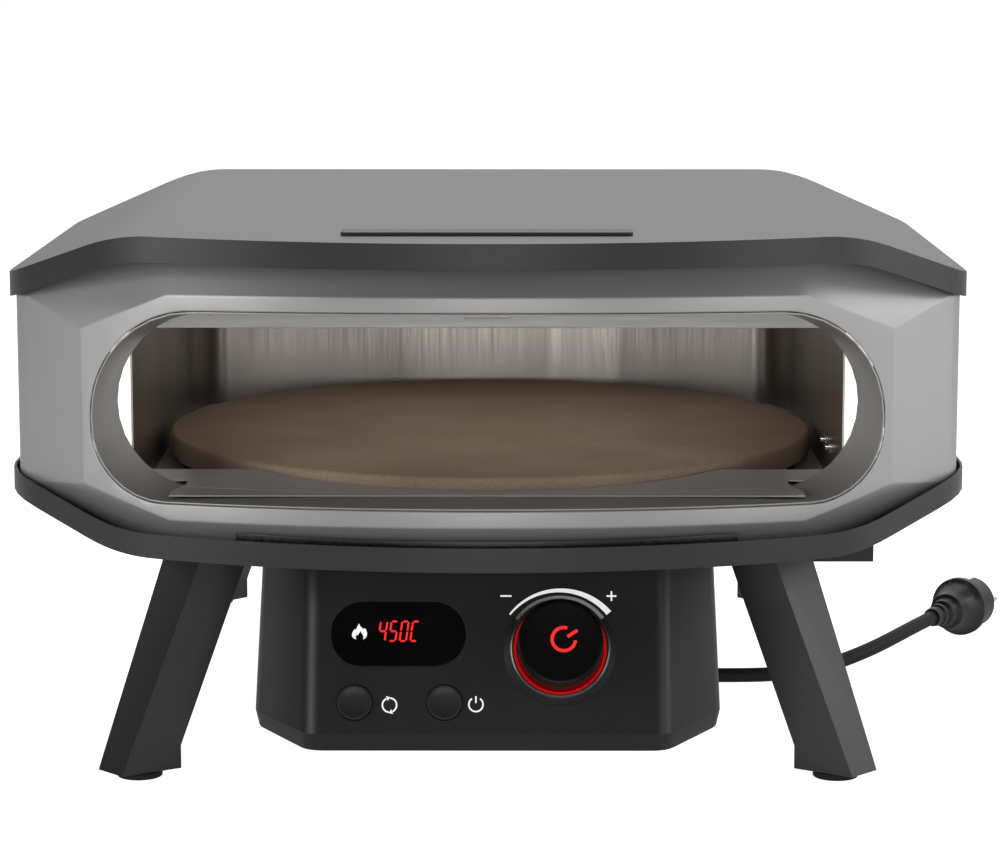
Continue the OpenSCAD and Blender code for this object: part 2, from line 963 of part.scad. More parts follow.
module control_back_cover() {
  color(black)
    at_axis()
      difference() {
        translate([-140.8, box_back_y - 2.2, box_low_z + box_wall + 0.2])
          cube([281.6, 2, base_low_z - box_low_z - box_wall - 0.4]);
        rod([gland_x, box_back_y - 5, gland_z], [gland_x, box_back_y + 5, gland_z], 7);
        rod([0, box_back_y - 5, conduit_z], [0, box_back_y + 5, conduit_z], 8);
        for (i = [0 : 4])
          translate([-110, box_back_y - 5, 60 + 9 * i])
            cube([70, 10, 4]);
      }
}

module display_window() {
  color([0.02, 0.02, 0.02])
    at_axis()
      on_panel()
        translate([display_at[0], display_at[1], -2.2])
          linear_extrude(2.4)
            stadium(display_half[0] - 0.1, display_half[1] - 0.1);
}

module display_module() {
  color([0.4, 0.05, 0.05])
    at_axis()
      on_panel()
        translate([display_at[0] - 30, display_at[1] - 13, -board_depth + board_t])
          cube([60, 26, board_depth - board_t - 3]);
}

module control_board() {
  color([0.1, 0.35, 0.15])
    at_axis()
      on_panel()
        difference() {
          translate([-100, 8, -board_depth])
            cube([194, 86, board_t]);
          for (at = boss_at)
            translate([at[0], at[1], -board_depth - 1])
              cylinder(h = 4, r = 1.6);
        }
}

module knob_collar() {
  color([0.16, 0.16, 0.16])
    at_axis()
      on_panel()
        translate([knob_at[0], knob_at[1], 0])
          rotate_extrude($fn = 96)
            polygon([[28.2, -3], [28.3, 0.05], [34.4, 0.05], [34, 2.5], [30.2, 11], [29, 11.6], [28.2, 11]]);
}

module knob_light_ring() {
  color([0.9, 0.1, 0.05])
    at_axis()
      on_panel()
        translate([knob_at[0], knob_at[1], 0])
          rotate_extrude($fn = 96)
            polygon([[26.5, -2], [28.15, -2], [28.15, 11.2], [26.5, 10]]);
}

// The knob slides 1.2 mm on its spindle to press a switch.
module knob() {
  color([0.05, 0.05, 0.05])
    at_axis()
      on_panel()
        translate([knob_at[0], knob_at[1], 0])
          rotate_extrude($fn = 96)
            polygon([
              [3.05, 2], [8, 2], [8, 31], [23, 31], [23, 3], [knob_r + 0.2, 3], [knob_r, knob_h - 1.5],
              [knob_r - 1.2, knob_h], [0, knob_h], [0, 24], [3.05, 24]]);
}

module knob_spindle() {
  color([0.75, 0.75, 0.75])
    at_axis()
      on_panel()
        translate([knob_at[0], knob_at[1], -13])
          cylinder(h = 35, r = 3);
}

module encoder_body() {
  color([0.3, 0.3, 0.3])
    at_axis()
      on_panel()
        translate([knob_at[0], knob_at[1], -board_depth + board_t])
          difference() {
            union() {
              translate([-7, -7, 0])
                cube([14, 14, 9]);
              cylinder(h = 16, r = 5);
            }
            translate([0, 0, 6])
              cylinder(h = 20, r = 3.05);
          }
}

// Cap with a rim behind the panel and a stem over its switch.
module button(at) {
  on_panel()
    translate([at[0], at[1], 0]) {
      translate([0, 0, -2.8])
        cylinder(h = 5.2, r = button_r);
      translate([0, 0, -4.4])
        cylinder(h = 1.6, r = button_r + 1.4);
      translate([0, 0, -12.8])
        cylinder(h = 9, r = 3);
    }
}

module rotate_button() {
  color([0.13, 0.13, 0.13])
    at_axis()
      button(button_at[0]);
}

module power_button() {
  color([0.13, 0.13, 0.13])
    at_axis()
      button(button_at[1]);
}

module button_switches() {
  color([0.2, 0.2, 0.2])
    at_axis()
      on_panel()
        for (at = button_at)
          translate([at[0] - 6, at[1] - 6, -board_depth + board_t])
            cube([12, 12, board_depth - board_t - 12.8 - 1.8]);
}

/* ---- Legs ---- */

// Corners of the front left leg: outer, front, inner and rear, at the foot and under the base.
foot_corners = [[-241, -212], [-224, -230], [-190, -208], [-207, -190]];
front_top_corners = [[-199, -170], [-174, -188], [-146, -170], [-171, -152]];
rear_top_corners = [[-199, -142], [-174, -160], [-146, -142], [-171, -124]];
foot_z = 4;
kink_z = 18.5;
// Mirror plane of the front and rear feet.
feet_mid_y = 49;
foot_at = [-215.5, -210];

function at_height(corners, z) = [for (p = corners) [p[0], p[1], z]];

function leg_mid(tops) =
  let (t = (kink_z - foot_z) / (base_low_z - foot_z))
  [for (i = [0 : 3]) i < 2 ? foot_corners[i] + t * (tops[i] - foot_corners[i]) : foot_corners[i]];

module left_leg(tops) {
  middle = (tops[0] + tops[2]) / 2;
  loft([at_height(foot_corners, foot_z), at_height(leg_mid(tops), kink_z),
    at_height(tops, base_low_z - 2)]);
  translate([middle[0] - 28, middle[1] - 30, base_low_z - 2.5])
    cube([56, 60, 2.5]);
}

module front_left_leg() {
  color(charcoal)
    at_axis()
      left_leg(front_top_corners);
}

module front_right_leg() {
  color(charcoal)
    at_axis()
      mirror([1, 0, 0])
        left_leg(front_top_corners);
}

module to_rear() {
  translate([0, 2 * feet_mid_y, 0])
    mirror([0, 1, 0])
      children();
}

module rear_left_leg() {
  color(charcoal)
    at_axis()
      to_rear()
        left_leg(rear_top_corners);
}

module rear_right_leg() {
  color(charcoal)
    at_axis()
      to_rear()
        mirror([1, 0, 0])
          left_leg(rear_top_corners);
}

module at_feet() {
  for (side = [0, 1], end = [0, 1])
    mirror([side, 0, 0])
      if (end == 0)
        children();
      else
        to_rear()
          children();
}

module foot_pads() {
  color([0.08, 0.08, 0.08])
    at_axis()
      at_feet()
        translate([foot_at[0], foot_at[1], 0])
          cylinder(h = foot_z, r = 14);
}

screw_reach = [23, 25.5];

module leg_screws() {
  color([0.55, 0.55, 0.55])
    at_axis()
      for (side = [-1, 1], mid = [[-172.5, -170], [-172.5, 2 * feet_mid_y + 142]], dx = [-1, 1], dy = [-1, 1])
        translate([side * mid[0] + dx * screw_reach[0], mid[1] + dy * screw_reach[1], base_low_z - 5])
          cylinder(h = 2.5, r = 4);
}

/* ---- Small fasteners ---- */

module screw_head(p, toward) {
  rod(p, p + 2 * toward, 3.2);
}

module roof_screws() {
  color([0.4, 0.4, 0.4])
    at_axis()
      for (x = [-180, -60, 60, 180])
        screw_head([x, back_reach, roof_top_z - 9], [0, 1, 0]);
}

module panel_screws() {
  color([0.6, 0.6, 0.6])
    at_axis()
      for (x = [-200, 0, 200], z = [172, 316])
        screw_head([x, back_reach - body_inset, z], [0, 1, 0]);
}

module box_screws() {
  color([0.4, 0.4, 0.4])
    at_axis() {
      for (x = [-132, 132], z = [38, 134])
        screw_head([x, box_back_y - 0.2, z], [0, 1, 0]);
      for (x = [-68, 68], y = [-98, 58])
        screw_head([x, y, cover_low_z], [0, 0, -1]);
    }
}

/* ---- Wiring ---- */

module junction_box() {
  color(black)
    at_axis()
      difference() {
        translate([205, -120, 117])
          cube([42, 120, 40]);
        folded_block(0, base_low_z - 0.1, roof_top_z, base_slope, -slope);
        translate([203, -60, 135])
          rotate([0, 90, 0])
            cylinder(h = 6, r = 5);
      }
}

module wire_conduits() {
  color(black)
    at_axis() {
      rod([0, box_back_y - 0.2, conduit_z], [0, cover_front_y + wall_t, conduit_z], 7.9);
      rod([139, -140, conduit_z + 10], [160, -140, conduit_z + 10], 4.8);
      translate([160, -140, 0])
        rotate([0, 0, -90])
          translate([-20, 0, conduit_z + 10])
            rotate_extrude(angle = 90)
              translate([20, 0])
                circle(r = 4.8, $fn = 32);
      rod([180, -120, conduit_z + 10], [180, -80, conduit_z + 10], 4.8);
      translate([200, -80, conduit_z + 10])
        rotate([0, 0, 90])
          rotate_extrude(angle = 90)
            translate([20, 0])
              circle(r = 4.8, $fn = 32);
      rod([200, -60, conduit_z + 10], [206, -60, conduit_z + 10], 4.8);
    }
}

/* ---- Mains lead ---- */

gland_end_y = -80;

module cord_gland() {
  color(black)
    at_axis()
      translate([gland_x, box_back_y - 4, gland_z])
        rotate([-90, 0, 0])
          rotate_extrude()
            polygon([
              [5.05, 0], [6.9, 0], [6.9, 4], [12, 4], [12, 9], [9.5, 10],
              [9, 18], [7, gland_end_y - box_back_y + 4], [5.05, gland_end_y - box_back_y + 4]]);
}

// The cord's middle line, from the gland to the plug, relative to the stone's axis.
cord_route = [
  [90, -118, 45], [90, -99, 45], [90, -79.5, 45], [90, -67, 43.4], [90, -56, 38.6], [90, -46.5, 31],
  [90, -37, 21.8], [90, -26, 12.8], [90.3, -13, 7.1], [92.5, 1, 5.1], [99, 15, 5], [109, 26, 5],
  [122, 34, 5], [138, 38.5, 5], [156, 39.5, 5], [174, 39.5, 5], [192, 41, 5], [210, 46, 5.4],
  [228, 54, 6.6], [246, 66, 8.8], [263, 80, 11.8], [279, 96, 15], [294, 114, 18], [308, 133, 20.3],
  [322.6, 155.3, 21.4]];
cord_sides = 10;

function direction(i) =
  let (last = len(cord_route) - 1, v = cord_route[min(i + 1, last)] - cord_route[max(i - 1, 0)])
  v / norm(v);

function cord_ring(i) =
  let (
    t = direction(i),
    side = cross(t, [0, 0, 1]) / norm(cross(t, [0, 0, 1])),
    up = cross(side, t)
  )
  [for (k = [0 : cord_sides - 1]) let (a = 360 * k / cord_sides)
    cord_route[i] + cord_d / 2 * (cos(a) * side - sin(a) * up)];

module mains_cord() {
  color(black)
    at_axis()
      loft([for (i = [0 : len(cord_route) - 1]) cord_ring(i)]);
}

plug_at = [321, 152.8, 21.4];
plug_heading = 57;
contact_x = 18;

module on_plug() {
  translate(plug_at)
    rotate([0, 90, plug_heading])
      children();
}

module plug_body() {
  color(black)
    at_axis()
      on_plug()
        difference() {
          rotate_extrude()
            polygon([
              [0, 0], [6.6, 0], [7.2, 5], [6.4, 6], [6.4, 8.5], [8, 9.5], [8.2, 12], [7.2, 13], [7.2, 16],
              [9.4, 17], [10.5, 24], [13, 25], [14, 34], [17.5, 42], [plug_flange_r, 45],
              [plug_flange_r, 50], [18.6, 51], [18.6, 68], [17.6, 69], [0, 69]]);
          translate([0, 0, -1])
            cylinder(h = 4, r = cord_d / 2 + 0.02);
          for (s = [-1, 1])
            translate([s > 0 ? contact_x : -contact_x - 2, -3.1, 51.9])
              cube([2, 6.2, 15.2]);
        }
}

module plug_pins() {
  color([0.8, 0.78, 0.72])
    at_axis()
      on_plug()
        for (s = [-1, 1])
          translate([0, s * 9.5, 69])
            cylinder(h = 19, r = 2.4);
}

// Sprung earth strips on the two flats of the plug's face.
module plug_contacts() {
  color([0.8, 0.78, 0.72])
    at_axis()
      on_plug()
        for (s = [-1, 1])
          translate([s > 0 ? contact_x : -contact_x - 1.2, -3, 52])
            cube([1.2, 6, 15]);
}

roof_shell();
roof_badge();
roof_insulation();
front_fascia();
mouth_liner();
left_side_panel();
right_side_panel();
rear_panel();
base_tray();
base_insulation();
sill_strip();
hearth_plate();
chamber_walls();
chamber_ceiling();
chamber_floor();
baffle_plate();
upper_heater();
lower_heater();
heater_brackets();
heater_bushings();
temperature_probe();
stone();
stone_carrier();
drive_shaft();
shaft_bush();
drive_gear();
pinion();
gear_motor();
motor_bracket();
drive_cover();
control_housing();
control_back_cover();
display_window();
display_module();
control_board();
knob_collar();
knob_light_ring();
knob();
knob_spindle();
encoder_body();
rotate_button();
power_button();
button_switches();
front_left_leg();
front_right_leg();
rear_left_leg();
rear_right_leg();
foot_pads();
leg_screws();
roof_screws();
panel_screws();
box_screws();
junction_box();
wire_conduits();
cord_gland();
mains_cord();
plug_body();
plug_pins();
plug_contacts();
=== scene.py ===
import math
import bpy
from mathutils import Matrix, Vector


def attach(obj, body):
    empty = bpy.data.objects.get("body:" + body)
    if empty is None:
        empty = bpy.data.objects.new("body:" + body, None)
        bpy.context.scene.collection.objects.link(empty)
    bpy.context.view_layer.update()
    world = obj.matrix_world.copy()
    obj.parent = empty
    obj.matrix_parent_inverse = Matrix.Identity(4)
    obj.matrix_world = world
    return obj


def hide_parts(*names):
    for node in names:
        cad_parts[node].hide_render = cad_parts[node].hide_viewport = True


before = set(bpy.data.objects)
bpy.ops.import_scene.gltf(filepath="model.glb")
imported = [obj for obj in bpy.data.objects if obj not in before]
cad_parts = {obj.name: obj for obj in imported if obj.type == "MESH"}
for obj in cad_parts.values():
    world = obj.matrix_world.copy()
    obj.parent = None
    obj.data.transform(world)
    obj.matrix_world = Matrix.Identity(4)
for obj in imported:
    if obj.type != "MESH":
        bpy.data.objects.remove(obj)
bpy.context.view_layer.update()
print("frame loaded")

bpy.context.scene.view_settings.view_transform = "Standard"
mm = 0.001
stoneY = -16 * mm  # the stone's axis; the cord's route and the sloping panel are placed from it

# the camera stands in front and looks down a little
cameraSettings = {
    "lens": 117.3, "sensor": 36, "near": 0.05, "place": (0.0144, -2.1885, 0.5258), "pitch": 0.1559, "yaw": 0.0034,
}

cameraData = bpy.data.cameras.new("camera")
cameraData.lens = cameraSettings["lens"]
cameraData.sensor_width = cameraSettings["sensor"]
cameraData.sensor_fit = "HORIZONTAL"
cameraData.clip_start = cameraSettings["near"]
cameraObject = bpy.data.objects.new("camera", cameraData)
bpy.context.scene.collection.objects.link(cameraObject)
cameraObject.location = cameraSettings["place"]
cameraObject.rotation_euler = (math.pi / 2 - cameraSettings["pitch"], 0, cameraSettings["yaw"])
bpy.context.scene.camera = cameraObject


# what the materials are built from

def newMaterial(name):
    material = bpy.data.materials.new(name)
    material.use_nodes = True
    tree = material.node_tree
    return material, tree, tree.nodes["Principled BSDF"]


def objectPoints(tree, stretch=(1, 1, 1)):
    coords = tree.nodes.new("ShaderNodeTexCoord")
    mapping = tree.nodes.new("ShaderNodeMapping")
    mapping.inputs["Scale"].default_value = stretch
    tree.links.new(coords.outputs["Object"], mapping.inputs["Vector"])
    return mapping.outputs["Vector"]


def noise(tree, vector, scale, detail):
    node = tree.nodes.new("ShaderNodeTexNoise")
    node.inputs["Scale"].default_value = scale
    node.inputs["Detail"].default_value = detail
    node.inputs["Roughness"].default_value = 0.55
    tree.links.new(vector, node.inputs["Vector"])
    return node.outputs["Fac"]


def ramp(tree, fac, low, high, colors):
    node = tree.nodes.new("ShaderNodeValToRGB")
    node.color_ramp.elements[0].position = low
    node.color_ramp.elements[1].position = high
    node.color_ramp.elements[0].color = (*colors[0], 1)
    node.color_ramp.elements[1].color = (*colors[1], 1)
    tree.links.new(fac, node.inputs["Fac"])
    return node.outputs["Color"]


def spread(tree, fac, low, high, fromLow=0.3, fromHigh=0.7):
    # a value between fromLow and fromHigh comes out between low and high
    node = tree.nodes.new("ShaderNodeMapRange")
    node.inputs["From Min"].default_value = fromLow
    node.inputs["From Max"].default_value = fromHigh
    node.inputs["To Min"].default_value = low
    node.inputs["To Max"].default_value = high
    tree.links.new(fac, node.inputs["Value"])
    return node.outputs["Result"]


def bump(tree, shader, height, strength, distance):
    node = tree.nodes.new("ShaderNodeBump")
    node.inputs["Strength"].default_value = strength
    node.inputs["Distance"].default_value = distance
    tree.links.new(height, node.inputs["Height"])
    tree.links.new(node.outputs["Normal"], shader.inputs["Normal"])


def coat(name, color, rough, grain=900, depth=0.00012, metal=0.0, spots=0.06, gloss=0.5):
    # powder coat: a fine orange-peel grain with a slow drift in shade
    material, tree, shader = newMaterial(name)
    points = objectPoints(tree)
    slow = noise(tree, points, scale=7, detail=2)
    dark = [c * (1 - spots) for c in color]
    light = [min(1, c * (1 + spots)) for c in color]
    tree.links.new(ramp(tree, slow, 0.3, 0.7, (dark, light)), shader.inputs["Base Color"])
    fine = noise(tree, points, scale=grain, detail=2)
    tree.links.new(spread(tree, fine, rough - 0.05, rough + 0.05), shader.inputs["Roughness"])
    shader.inputs["Metallic"].default_value = metal
    shader.inputs["Specular IOR Level"].default_value = gloss
    bump(tree, shader, fine, strength=0.35, distance=depth)
    return material


def addSheenBand(tree, level, middle, half, gain):
    # a painted reflection band: upright, round x = middle, fading out over the outer third of its half width
    parts = tree.nodes.new("ShaderNodeSeparateXYZ")
    tree.links.new(objectPoints(tree), parts.inputs["Vector"])
    away = tree.nodes.new("ShaderNodeMath")
    away.operation = "SUBTRACT"
    away.inputs[1].default_value = middle
    tree.links.new(parts.outputs["X"], away.inputs[0])
    size = tree.nodes.new("ShaderNodeMath")
    size.operation = "ABSOLUTE"
    tree.links.new(away.outputs["Value"], size.inputs[0])
    total = tree.nodes.new("ShaderNodeMath")
    tree.links.new(spread(tree, size.outputs["Value"], gain, 0, half * 0.7, half), total.inputs[0])
    tree.links.new(level, total.inputs[1])
    return total.outputs["Value"]


def brushed(name, color, rough, stretch=(6, 260, 260), depth=0.00006, stainAndSheen=(0.8, 0.74, 0.66), metal=1.0,
            sheenBands=None):
    # rolled sheet steel: fine lines one way, with a faint heat stain; given sheen bands, upright streaks and bands
    # of painted reflection lighten the colour instead
    material, tree, shader = newMaterial(name)
    lines = noise(tree, objectPoints(tree, stretch), scale=4, detail=4)
    if sheenBands:
        # painted reflection streaks: a noise stretched upright lifts the colour a little all over
        cloud = noise(tree, objectPoints(tree, (1, 1, 0.03)), scale=9, detail=1)
        level = spread(tree, cloud, 0, 0.3)
        for middle, half, gain in sheenBands:
            level = addSheenBand(tree, level, middle * mm, half * mm, gain)
    else:
        cloud = noise(tree, objectPoints(tree), scale=9, detail=3)
        level = spread(tree, cloud, 0, 1, 0.35, 0.75)
    shade = ramp(tree, level, 0, 1, (color, [c * s for c, s in zip(color, stainAndSheen)]))
    tree.links.new(shade, shader.inputs["Base Color"])
    tree.links.new(spread(tree, lines, rough - 0.06, rough + 0.1), shader.inputs["Roughness"])
    shader.inputs["Metallic"].default_value = metal
    bump(tree, shader, lines, strength=0.3, distance=depth)
    return material


def moulded(name, color, rough, grain=1400, depth=0.00005, gloss=0.5):
    # plastic, rubber and the like: a fine mould grain, a shade paler in places
    material, tree, shader = newMaterial(name)
    points = objectPoints(tree)
    fine = noise(tree, points, scale=grain, detail=2)
    slow = noise(tree, points, scale=14, detail=2)
    pale = [min(1, c * 1.15 + 0.002) for c in color]
    tree.links.new(ramp(tree, slow, 0.3, 0.7, (color, pale)), shader.inputs["Base Color"])
    tree.links.new(spread(tree, fine, rough - 0.04, rough + 0.05), shader.inputs["Roughness"])
    shader.inputs["Specular IOR Level"].default_value = gloss
    bump(tree, shader, fine, strength=0.3, distance=depth)
    return material


def glowing(name, color, strength):
    material, tree, shader = newMaterial(name)
    fine = noise(tree, objectPoints(tree), scale=500, detail=2)
    dim = [c * 0.8 for c in color]
    tree.links.new(ramp(tree, fine, 0.2, 0.7, (dim, color)), shader.inputs["Emission Color"])
    shader.inputs["Base Color"].default_value = (*dim, 1)
    shader.inputs["Roughness"].default_value = 0.5
    shader.inputs["Emission Strength"].default_value = strength
    return material


def fired(name, dark, pale):
    # cordierite: sandy brown with fine dark and pale grains
    material, tree, shader = newMaterial(name)
    points = objectPoints(tree)
    slow = noise(tree, points, scale=12, detail=4)
    grains = tree.nodes.new("ShaderNodeTexVoronoi")
    grains.inputs["Scale"].default_value = 700
    tree.links.new(points, grains.inputs["Vector"])
    base = ramp(tree, slow, 0.3, 0.72, (dark, pale))
    speck = ramp(tree, grains.outputs["Distance"], 0.1, 0.55, ((0.7, 0.7, 0.7), (1.08, 1.08, 1.08)))
    mix = tree.nodes.new("ShaderNodeMix")
    mix.data_type = "RGBA"
    mix.blend_type = "MULTIPLY"
    mix.inputs["Factor"].default_value = 0.8
    tree.links.new(base, mix.inputs["A"])
    tree.links.new(speck, mix.inputs["B"])
    tree.links.new(mix.outputs["Result"], shader.inputs["Base Color"])
    shader.inputs["Roughness"].default_value = 0.82
    shader.inputs["Specular IOR Level"].default_value = 0.3
    bump(tree, shader, noise(tree, points, scale=900, detail=3), strength=0.5, distance=0.0003)
    return material


# each finish: its colour, its roughness, then what sets it apart from the usual sheet, paint or plastic
charcoalPaint = coat("charcoal powder coat", (0.011, 0.011, 0.0113), 0.4, gloss=0.56)
silverPaint = coat("silver powder coat", (0.38, 0.38, 0.382), 0.42, grain=1100, depth=0.00008, metal=0.55)
steelLiner = brushed("brushed stainless", (0.36, 0.355, 0.345), 0.42, stainAndSheen=(0.92, 0.91, 0.89), metal=0.6)
# the chamber walls carry painted reflections: along the streaks and sheen bands the colour is lifted to about two
# and a half times, standing in for lights mirrored in the brushed steel
steelChamber = brushed("chamber stainless", (0.36, 0.325, 0.29), 0.36, stretch=(260, 260, 6),
                       stainAndSheen=(2.5, 2.6, 2.7), sheenBands=((-8, 60, 0.22), (68, 30, 0.4)))
steelHearth = brushed("brushed hearth steel", (0.42, 0.41, 0.4), 0.44, stainAndSheen=(0.93, 0.92, 0.9), metal=0.25)
zincSheet = brushed("galvanised sheet", (0.74, 0.73, 0.71), 0.4, stretch=(30, 30, 30), stainAndSheen=(0.86, 0.86, 0.87),
                    metal=0.1)
brightSteel = brushed("polished steel", (0.78, 0.78, 0.79), 0.16, depth=0.00002, stainAndSheen=(0.92, 0.92, 0.92))
# the sill strip's polished steel is painted nearly black, about a tenth of the bright steel's colour: painted
# shade for the shadow it sits in at the foot of the front
shadedStripSteel = brushed("polished steel in painted shade", (0.07, 0.07, 0.07), 0.3, depth=0.00002, stainAndSheen=(0.9, 0.9, 0.9))
heaterSkin = brushed("heater sheath", (0.16, 0.145, 0.135), 0.5, stretch=(40, 40, 40))
bronzeBush = brushed("sintered bronze", (0.5, 0.36, 0.17), 0.4, stretch=(60, 60, 60))
screwMetal = brushed("blackened screw", (0.2, 0.2, 0.21), 0.38, stretch=(90, 90, 90))
platedMetal = brushed("nickel plate", (0.78, 0.75, 0.68), 0.2, stretch=(50, 50, 50), stainAndSheen=(0.94, 0.93, 0.9))
stoneFired = fired("fired cordierite", (0.3, 0.225, 0.155), (0.38, 0.29, 0.205))
blackPlastic = moulded("satin black plastic", (0.009, 0.009, 0.0092), 0.42, gloss=0.45)
partPlastic = moulded("black engineering plastic", (0.03, 0.03, 0.03), 0.5)
glossPlastic = moulded("gloss black plastic", (0.002, 0.002, 0.002), 0.14, grain=300, depth=0.00001, gloss=0.25)
collarPlastic = moulded("collar plastic", (0.02, 0.02, 0.02), 0.24, gloss=1.0)
buttonPlastic = moulded("button plastic", (0.016, 0.016, 0.017), 0.36)
knobPlastic = moulded("knob plastic", (0.002, 0.002, 0.002), 0.3, gloss=0.15)
rubberBlack = moulded("black rubber", (0.007, 0.007, 0.007), 0.6, grain=1800, gloss=0.3)
boardGreen = moulded("green circuit board", (0.02, 0.1, 0.04), 0.4, grain=200)
nylonGear = moulded("natural nylon", (0.62, 0.58, 0.48), 0.42)
porcelainWhite = moulded("porcelain", (0.74, 0.72, 0.67), 0.3)
woolFelt = moulded("mineral wool", (0.5, 0.47, 0.4), 0.95, grain=260, depth=0.002)
redGlow = glowing("red light", (1.0, 0.015, 0.015), 0.8)
redDiffuser = glowing("red diffuser", (0.5, 0.004, 0.004), 0.7)
# the white print is made to glow: a painted glow, as the printed marks give no light of their own
glowingWhitePrint = glowing("white print with painted glow", (0.8, 0.8, 0.8), 0.8)
print("materials made")


# modelling helpers

def choose(obj):
    bpy.ops.object.select_all(action="DESELECT")
    obj.select_set(True)
    bpy.context.view_layer.objects.active = obj


def editEdges(obj, test):
    # edit mode with only those edges selected whose middle and direction pass the test
    choose(obj)
    bpy.ops.object.mode_set(mode="EDIT")
    bpy.ops.mesh.select_mode(type="EDGE")
    bpy.ops.mesh.select_all(action="DESELECT")
    bpy.ops.object.mode_set(mode="OBJECT")
    mesh = obj.data
    for edge in mesh.edges:
        a, b = (mesh.vertices[i].co for i in edge.vertices)
        edge.select = bool(test((a + b) / 2, (b - a).normalized()))
    bpy.ops.object.mode_set(mode="EDIT")


def editAll(obj):
    choose(obj)
    bpy.ops.object.mode_set(mode="EDIT")
    bpy.ops.mesh.select_mode(type="VERT")
    bpy.ops.mesh.select_all(action="SELECT")


def leaveEdit():
    bpy.ops.object.mode_set(mode="OBJECT")


def named(name):
    obj = bpy.context.object
    obj.name = name
    return obj


def applied(obj, kind, **values):
    choose(obj)
    modifier = obj.modifiers.new(kind.lower(), kind)
    for key, value in values.items():
        setattr(modifier, key, value)
    bpy.ops.object.modifier_apply(modifier=modifier.name)


def smoothed(obj, angle):
    choose(obj)
    bpy.ops.object.shade_smooth_by_angle(angle=math.radians(angle))


def settled(obj):
    choose(obj)
    bpy.ops.object.transform_apply(location=True, rotation=True, scale=True)


def fitted(obj, material, body, slotName, *stands):
    settled(obj)
    obj.data.materials.clear()
    obj.data.materials.append(material)
    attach(obj, body)
    if stands:
        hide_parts(*stands)
    return obj


def refined(nodeName, pieceName, edge, split=False, weld=0.00002, flat=0.6):
    # a copy of a solid with its triangles joined to faces and its edges softened
    # edge: bevel width in mm, the angle from which edges are bevelled, bevel segments, smooth shading angle
    # split cuts the faces up again where one would go round a hole
    width, angle, segments, smooth = edge
    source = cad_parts[nodeName]
    obj = bpy.data.objects.new(pieceName, source.data.copy())
    bpy.context.scene.collection.objects.link(obj)
    editAll(obj)
    bpy.ops.mesh.remove_doubles(threshold=weld)
    bpy.ops.mesh.dissolve_limited(angle_limit=math.radians(flat))
    if split:
        bpy.ops.mesh.quads_convert_to_tris()
    leaveEdit()
    applied(obj, "BEVEL", width=width * mm, segments=segments, limit_method="ANGLE",
            angle_limit=math.radians(angle), use_clamp_overlap=True)
    smoothed(obj, smooth)
    applied(obj, "WEIGHTED_NORMAL", mode="FACE_AREA", weight=60, keep_sharp=True)
    return obj


def dressed(settings):
    # one piece of the oven from each row: its solid, its edge, its finish and its slot
    pieces = {}
    for pieceName, (nodeName, edge, material, slotName) in settings.items():
        pieces[pieceName] = fitted(refined(nodeName, pieceName, edge), material, "oven", slotName, nodeName)
    return pieces


def merged(parts, name):
    bpy.ops.object.select_all(action="DESELECT")
    for part in parts:
        part.select_set(True)
    bpy.context.view_layer.objects.active = parts[0]
    bpy.ops.object.join()
    return named(name)


# the mains cord, from the gland down to the floor and out to the plug; places in mm, y from the stone's axis
cordSettings = {
    "diameter": 10 * mm,
    "route": [
        (90, -118, 45), (90, -99, 45), (90, -79.5, 45), (90, -67, 43.4), (90, -56, 38.6), (90, -46.5, 31),
        (90, -37, 21.8), (90, -26, 12.8), (90.3, -13, 7.1), (92.5, 1, 5.1), (99, 15, 5), (109, 26, 5),
        (122, 34, 5), (138, 38.5, 5), (156, 39.5, 5), (174, 39.5, 5), (192, 41, 5), (210, 46, 5.4),
        (228, 54, 6.6), (246, 66, 8.8), (263, 80, 11.8), (279, 96, 15), (294, 114, 18), (308, 133, 20.3),
        (322.6, 155.3, 21.4)],
}


def makeCord():
    curve = bpy.data.curves.new("mainsCord", "CURVE")
    curve.dimensions = "3D"
    curve.bevel_depth = cordSettings["diameter"] / 2
    curve.bevel_resolution = 6
    curve.resolution_u = 6
    curve.use_fill_caps = True
    spline = curve.splines.new("NURBS")
    points = [Vector(p) * mm + Vector((0, stoneY, 0)) for p in cordSettings["route"]]
    spline.points.add(len(points) - 1)
    for point, place in zip(spline.points, points):
        point.co = (*place, 1)
    spline.order_u = 3
    spline.use_endpoint_u = True
    obj = bpy.data.objects.new("mainsCord", curve)
    bpy.context.scene.collection.objects.link(obj)
    length = sum((b - a).length for a, b in zip(points, points[1:]))
    print("cord length", round(length, 4))
    return obj, points, length


cordPiece, cordPoints, cordLength = makeCord()
cordPiece.data.materials.append(rubberBlack)
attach(cordPiece, "oven")
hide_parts("mains_cord")


# roof and base, one folded sheet each
sheetSettings = {
    "roofShell": ("roof_shell", (1.0, 50, 3, 30), charcoalPaint, "charcoal_paint"),
    "baseTray": ("base_tray", (1.0, 50, 3, 30), charcoalPaint, "charcoal_paint"),
}
dressed(sheetSettings)
print("roof and base made")


